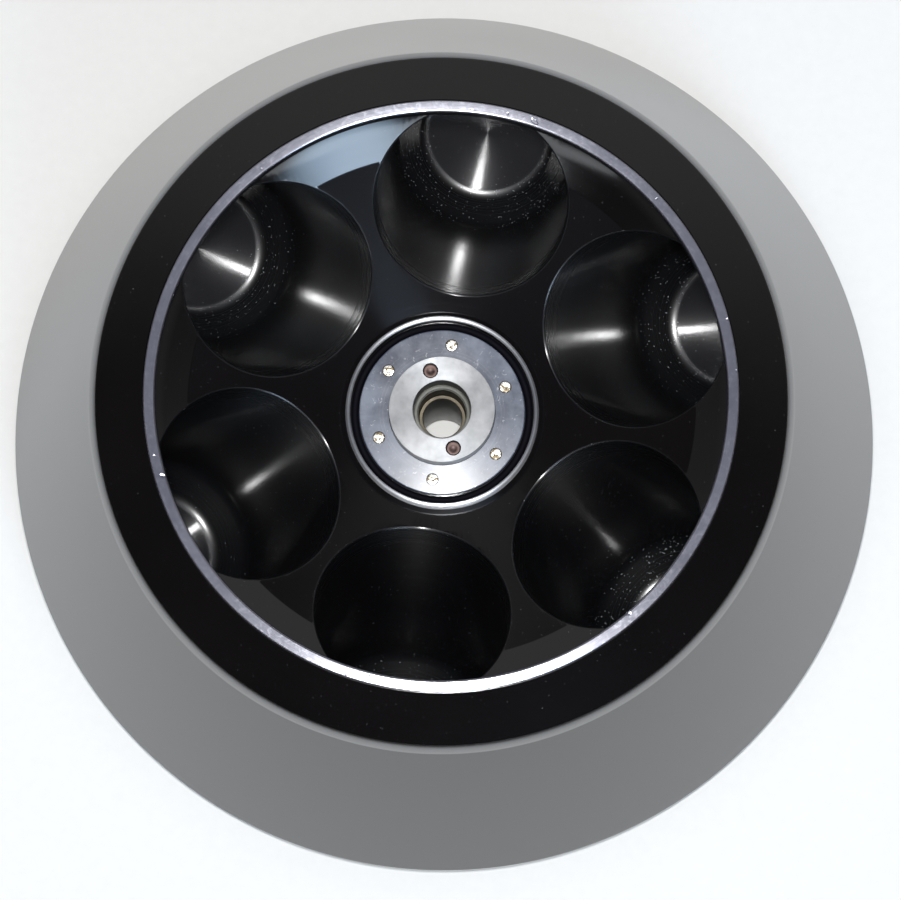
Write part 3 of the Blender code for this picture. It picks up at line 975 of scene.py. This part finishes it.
def plate_look():
    """Blue-grey anodised plate with a satin turned face and pale handling marks."""
    look = Look("plate_satin", ior=1.5, anisotropy=0.3)
    mottle = look.level(look.noise(95.0, 4.0, 0.65), 0.36, 0.66)
    colour = look.mix(mottle, (0.045, 0.054, 0.082), (0.135, 0.152, 0.190))
    marks = look.level(look.noise(520.0, 3.0, 0.7, distortion=1.0), 0.62, 0.72)
    look.set("Base Color", look.mix(marks, colour, (0.34, 0.35, 0.37)))
    look.rings_about_spin_axis()
    rings = look.lathe_marks(0.5)
    look.set("Roughness", look.level(rings, 0.3, 0.7, 0.22, 0.28))
    look.bump(rings, 0.0008)
    return look.material


def hub_look():
    colours = ((0.165, 0.168, 0.172), (0.36, 0.365, 0.37))
    return turned_metal("hub_steel", colours, roughness=0.54, pitch=0.4, depth=0.0008,
                        anisotropy=0.8)


def painted_shade_bore_look():
    """Near-black turned steel inside the spindle bore and on the collar's inner face: painted
    shade for the dark inside of the bores.
    """
    colours = ((0.010, 0.010, 0.009), (0.038, 0.038, 0.034))
    return turned_metal("bore_painted_shade", colours, roughness=0.34, pitch=0.4, depth=0.001,
                        anisotropy=0.3)


def adapter_look():
    colours = ((0.40, 0.40, 0.41), (0.56, 0.56, 0.56))
    return turned_metal("adapter_steel", colours, roughness=0.28, pitch=0.4, depth=0.001,
                        anisotropy=0.9)


def bush_look():
    colours = ((0.050, 0.044, 0.033), (0.105, 0.090, 0.065))
    return turned_metal("bush_bronze", colours, roughness=0.50, pitch=0.3, depth=0.001,
                        anisotropy=0.3)


def snap_look():
    colours = ((0.09, 0.09, 0.082), (0.16, 0.16, 0.148))
    return turned_metal("ring_spring_steel", colours, roughness=0.60, pitch=0.3, depth=0.001,
                        anisotropy=0.3)


def screw_look():
    """Plated screws: a mottled tan tone with pale patches that are painted glints, the patches
    also smoother.
    """
    look = Look("screw_plated", metallic=1.0)
    sheen_patches = look.noise(800.0, 2.0, 0.6)
    tan_mottle = look.mix(look.noise(2500.0), (0.10, 0.075, 0.045), (0.20, 0.165, 0.11))
    # the pale patches in the base colour are painted glints
    look.set("Base Color", look.mix(look.level(sheen_patches, 0.47, 0.56), tan_mottle, (0.80, 0.78, 0.70)))
    look.set("Roughness", look.level(sheen_patches, 0.45, 0.6, 0.50, 0.30))
    look.bump(look.noise(1100.0, 2.0, 0.5), 0.10)
    return look.material


def pin_look():
    """Ground steel pins with a brown oxide film of uneven tone."""
    look = Look("pin_brown", metallic=1.0)
    grain = look.noise(700.0, 4.0, 0.7)
    colour = look.mix(look.level(grain, 0.3, 0.7), (0.032, 0.021, 0.023), (0.095, 0.066, 0.056))
    look.set("Base Color", colour)
    look.set("Roughness", look.level(grain, 0.3, 0.7, 0.38, 0.55))
    look.bump(grain, 0.01)
    return look.material


def rubber_look():
    look = Look("rubber_black", ior=1.5)
    grain = look.noise(1500.0, 3.0, 0.6)
    look.set("Base Color", look.mix(grain, (0.0010, 0.0010, 0.0022), (0.003, 0.003, 0.006)))
    look.set("Roughness", look.level(grain, 0.3, 0.7, 0.65, 0.8))
    look.set("Specular IOR Level", 0.08)
    look.bump(grain, 0.01)
    return look.material


def disc_look():
    """A dark ring with evenly spaced pale segments for the speed sensor."""
    look = Look("sensing_film", ior=1.5)
    x, y, _ = look.parts(look.place)
    angle = look.math("ARCTAN2", y, x)
    wave = look.math("SINE", look.math("MULTIPLY", angle, SPEED_DISC_SEGMENTS))
    share = look.math("GREATER_THAN", wave, 0.0)
    grain = look.noise(300.0, 3.0, 0.6)
    dark = look.mix(grain, (0.012, 0.012, 0.013), (0.03, 0.03, 0.03))
    pale = look.mix(grain, (0.50, 0.50, 0.48), (0.66, 0.66, 0.64))
    look.set("Base Color", look.mix(share, dark, pale))
    look.set("Roughness", look.level(grain, 0.3, 0.7, 0.32, 0.48))
    look.bump(grain, 0.006)
    return look.material


# ---------------------------------------------------------------- studio

def make_floor():
    """The white sheet that the rotor stands on."""
    look = Look("studio_sheet", ior=1.35)
    fibres = look.noise(240.0, 4.0, 0.6)
    look.set("Base Color", look.mix(fibres, (0.735, 0.730, 0.710), (0.785, 0.780, 0.760)))
    look.set("Roughness", 0.9)
    form = bmesh.new()
    bmesh.ops.create_grid(form, x_segments=8, y_segments=8, size=FLOOR_REACH)
    floor = mesh_object("studio_floor", form, [look.material])
    floor.location.z = -FLOOR_CLEARANCE


def area_light(name, place, aim, size, power, colour):
    """A soft light of a width and height in metres, facing a point."""
    lamp = bpy.data.lights.new(name, "AREA")
    lamp.shape = "ELLIPSE"
    lamp.size, lamp.size_y = size
    lamp.energy = power
    lamp.color = colour
    item = bpy.data.objects.new(name, lamp)
    bpy.context.scene.collection.objects.link(item)
    item.location = place
    item.rotation_euler = (Vector(aim) - Vector(place)).to_track_quat("-Z", "Y").to_euler()


def toward(azimuth, elevation, distance):
    """A point at this distance from the rotor's centre; azimuth 0 is -Y, 90 is +X."""
    turn, rise = math.radians(azimuth), math.radians(elevation)
    return Vector((math.sin(turn) * math.cos(rise), -math.cos(turn) * math.cos(rise),
                   math.sin(rise))) * distance


def make_world():
    """A dim room: a paler ceiling and far side, and a bluish window in front."""
    world = bpy.data.worlds.new("studio")
    bpy.context.scene.world = world
    world.use_nodes = True
    tree = world.node_tree

    def graded(value, low, high):
        ramp = tree.nodes.new("ShaderNodeMapRange")
        ramp.interpolation_type = "SMOOTHSTEP"
        tree.links.new(value, ramp.inputs[0])
        ramp.inputs[1].default_value = low
        ramp.inputs[2].default_value = high
        return ramp.outputs[0]

    def both(first, second):
        product = tree.nodes.new("ShaderNodeMath")
        product.operation = "MULTIPLY"
        tree.links.new(first, product.inputs[0])
        tree.links.new(second, product.inputs[1])
        return product.outputs[0]

    def tinted(share, base, colour):
        blend = tree.nodes.new("ShaderNodeMix")
        blend.data_type = "RGBA"
        tree.links.new(share, blend.inputs[0])
        if isinstance(base, bpy.types.NodeSocket):
            tree.links.new(base, blend.inputs[6])
        else:
            blend.inputs[6].default_value = (*base, 1.0)
        blend.inputs[7].default_value = (*colour, 1.0)
        return blend.outputs[2]

    place = tree.nodes.new("ShaderNodeTexCoord").outputs["Generated"]
    split = tree.nodes.new("ShaderNodeSeparateXYZ")
    tree.links.new(place, split.inputs[0])
    _, far, height = split.outputs
    facing = tree.nodes.new("ShaderNodeVectorMath")
    facing.operation = "DOT_PRODUCT"
    tree.links.new(place, facing.inputs[0])
    facing.inputs[1].default_value = toward(WINDOW_AZIMUTH, WINDOW_ELEVATION, 1.0)
    window = both(graded(facing.outputs["Value"], 0.970, 0.9994), graded(height, 0.755, 0.735))
    low_down = both(graded(far, -0.1, 1.0), graded(height, 0.45, 0.05))
    middle = both(graded(height, 0.36, 0.48), graded(height, 0.68, 0.56))

    room = tinted(graded(height, 0.70, 0.96), (0.030, 0.030, 0.032), (0.29, 0.30, 0.37))
    room = tinted(low_down, room, (0.50, 0.50, 0.49))
    room = tinted(middle, room, (0.24, 0.24, 0.25))
    room = tinted(both(middle, graded(far, 0.2, 0.6)), room, (0.62, 0.62, 0.64))
    room = tinted(window, room, (6.5, 8.8, 11.5))
    room = tinted(graded(height, 0.06, -0.03), room, (0.65, 0.65, 0.65))
    tree.links.new(room, tree.nodes["Background"].inputs[0])


def make_lights():
    aim = (0.0, 0.0, 0.08)
    flash = toward(CAMERA_AZIMUTH, CAMERA_ELEVATION + 1.5, CAMERA_DISTANCE + 0.02)
    area_light("front_softbox", flash, aim, size=(0.08, 0.08), power=24.0,
               colour=(1.0, 1.0, 1.0))
    wall = toward(WALL_AZIMUTH, WALL_ELEVATION, WALL_DISTANCE)
    area_light("window_wall", wall, aim, size=(3.2, 0.36), power=8.5, colour=(0.9, 0.95, 1.0))


def make_camera():
    data = bpy.data.cameras.new("camera")
    data.lens = CAMERA_LENS
    data.clip_end = CAMERA_CLIP_END
    camera = bpy.data.objects.new("camera", data)
    bpy.context.scene.collection.objects.link(camera)
    back = toward(CAMERA_AZIMUTH, CAMERA_ELEVATION, 1.0)
    right = Vector((0.0, 0.0, 1.0)).cross(back).normalized()
    up = back.cross(right)
    roll = math.radians(CAMERA_ROLL)
    right, up = (right * math.cos(roll) + up * math.sin(roll),
                 up * math.cos(roll) - right * math.sin(roll))
    across, rise = CENTRE_IN_FRAME
    place = back * CAMERA_DISTANCE - right * (across * MM) - up * (rise * MM)
    turn = Matrix((right, up, back)).transposed().to_4x4()
    camera.matrix_world = Matrix.Translation(place) @ turn
    bpy.context.scene.camera = camera


def main():
    looks = {"outside": outside_look(), "shoulder": shoulder_look(), "well": well_look(),
             "underside": underside_look(), "cavity_wall": cavity_wall_look(),
             "cavity_band": cavity_band_look(), "cavity_floor": cavity_floor_look()}
    make_camera()
    make_body(looks)
    make_seat_ring(seat_look())
    # the bores and the collar's inner face get near-black painted shade
    bore = painted_shade_bore_look()
    make_collar(collar_look(), bore)
    make_o_ring(rubber_look())
    make_plate(plate_look())
    make_drive_hub(hub_look(), bore)
    pin = pin_look()
    for node in ("drive_pin_1", "drive_pin_2"):
        make_pin(node, pin)
    screw = screw_look()
    for node in sorted(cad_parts):
        if "_screw_" in node:
            make_screw(node, screw)
    make_bush(bush_look(), bore)
    make_snap_ring(snap_look())
    make_adapter(adapter_look(), bore)
    make_speed_disc(disc_look())
    make_floor()
    make_world()
    make_lights()
    bpy.context.scene.view_settings.view_transform = "Standard"


main()
